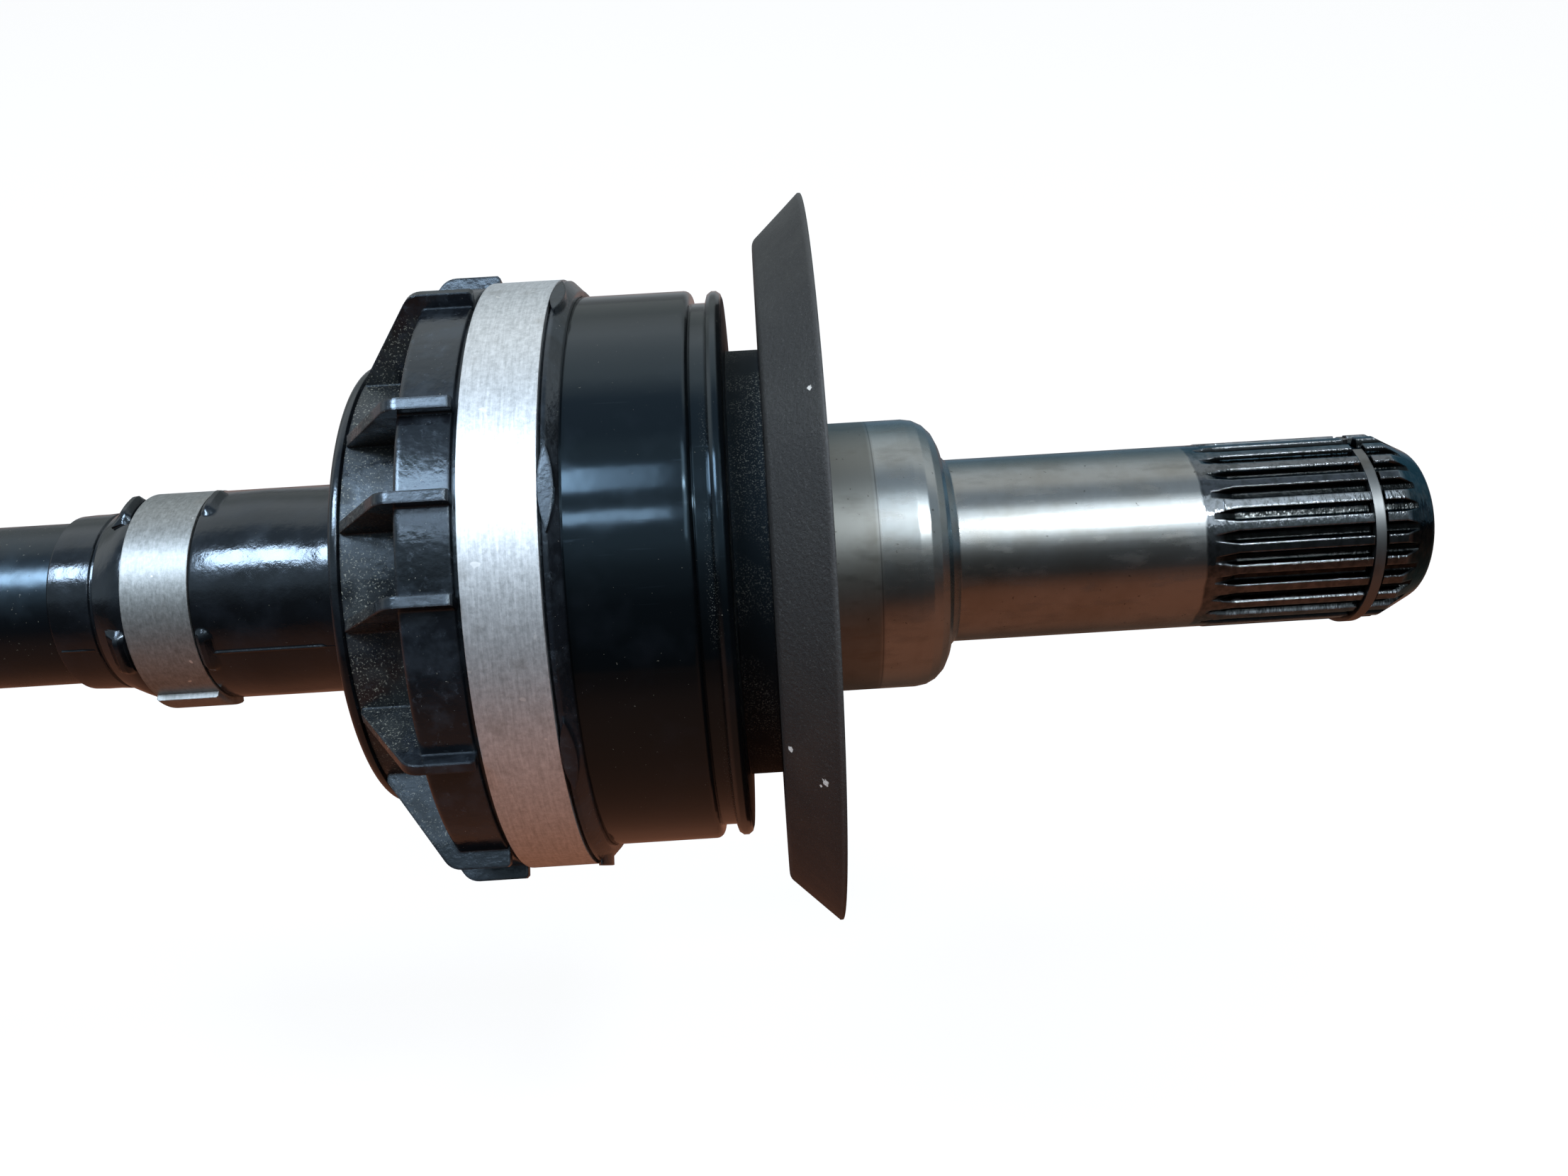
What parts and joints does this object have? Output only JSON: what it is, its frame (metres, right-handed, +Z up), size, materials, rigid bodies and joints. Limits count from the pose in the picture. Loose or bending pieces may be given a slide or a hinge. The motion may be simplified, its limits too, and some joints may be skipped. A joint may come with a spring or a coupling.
{
  "type": "half shaft",
  "caption": "Drive half shaft with a plunging inner ball joint, ribbed boot cap, dust shield and splined stub, and a fixed outer ball joint with a bellows boot and threaded stub.",
  "frame": {"origin": "on the shaft's axis, at the middle of the seal journal beside the dust shield", "axes": "+X along the shaft towards the gearbox, +Z up, with the shaft lying level"},
  "size_m": [0.6857, 0.1154, 0.1154],
  "materials": {
    "black_paint": "gloss",
    "shield_steel": "matt, rough",
    "machined_steel": "turned",
    "spring_steel": "oiled",
    "band_steel": "satin",
    "cap_plastic": "moulded, dusty",
    "boot_rubber": "semi-gloss",
    "ball_steel": "polished",
    "joint_steel": "ground",
    "thrust_plastic": "natural"
  },
  "bodies": {
    "inner_housing": {"inner_housing": "black_paint", "dust_shield": "shield_steel", "stub_circlip": "spring_steel", "inner_seal_ring": "boot_rubber", "inner_boot_cap": "cap_plastic", "inner_clamp_large": "band_steel"},
    "plunge_pair": {"inner_plunge_balls": "ball_steel"},
    "inner_cage": {"inner_cage": "joint_steel", "inner_cage_balls": "ball_steel"},
    "shaft": {"shaft": "black_paint", "inner_race": "joint_steel", "inner_race_circlip": "spring_steel", "inner_stop_ring": "spring_steel", "inner_boot": "boot_rubber", "inner_clamp_small": "band_steel", "outer_race": "joint_steel", "outer_race_circlip": "spring_steel", "outer_dished_washer": "spring_steel", "outer_thrust_ring": "thrust_plastic", "outer_boot": "boot_rubber", "outer_clamp_small": "band_steel"},
    "outer_cage": {"outer_cage": "joint_steel", "outer_balls": "ball_steel"},
    "outer_housing": {"outer_housing": "machined_steel", "outer_clamp_large": "band_steel"}
  },
  "joints": [
    {"name": "inner_plunge", "type": "slide", "parent": "inner_housing", "child": "plunge_pair", "axis": [1, 0, 0], "range_m": [-0.004, 0.004], "deforming": ["inner_boot"]},
    {"name": "inner_bend_vertical", "type": "hinge", "parent": "plunge_pair", "child": "inner_cage", "pos_m": [-0.0417, 0, 0], "axis": [0, 1, 0], "range_deg": [-12, 12], "deforming": ["inner_boot"]},
    {"name": "inner_bend_side", "type": "hinge", "parent": "inner_cage", "child": "shaft", "pos_m": [-0.0417, 0, 0], "axis": [0, 0, 1], "range_deg": [-12, 12], "deforming": ["inner_boot"]},
    {"name": "outer_bend_vertical", "type": "hinge", "parent": "shaft", "child": "outer_cage", "pos_m": [-0.4762, 0, 0], "axis": [0, 1, 0], "range_deg": [-20, 20], "deforming": ["outer_boot"]},
    {"name": "outer_bend_side", "type": "hinge", "parent": "outer_cage", "child": "outer_housing", "pos_m": [-0.4762, 0, 0], "axis": [0, 0, 1], "range_deg": [-20, 20], "deforming": ["outer_boot"]}
  ]
}
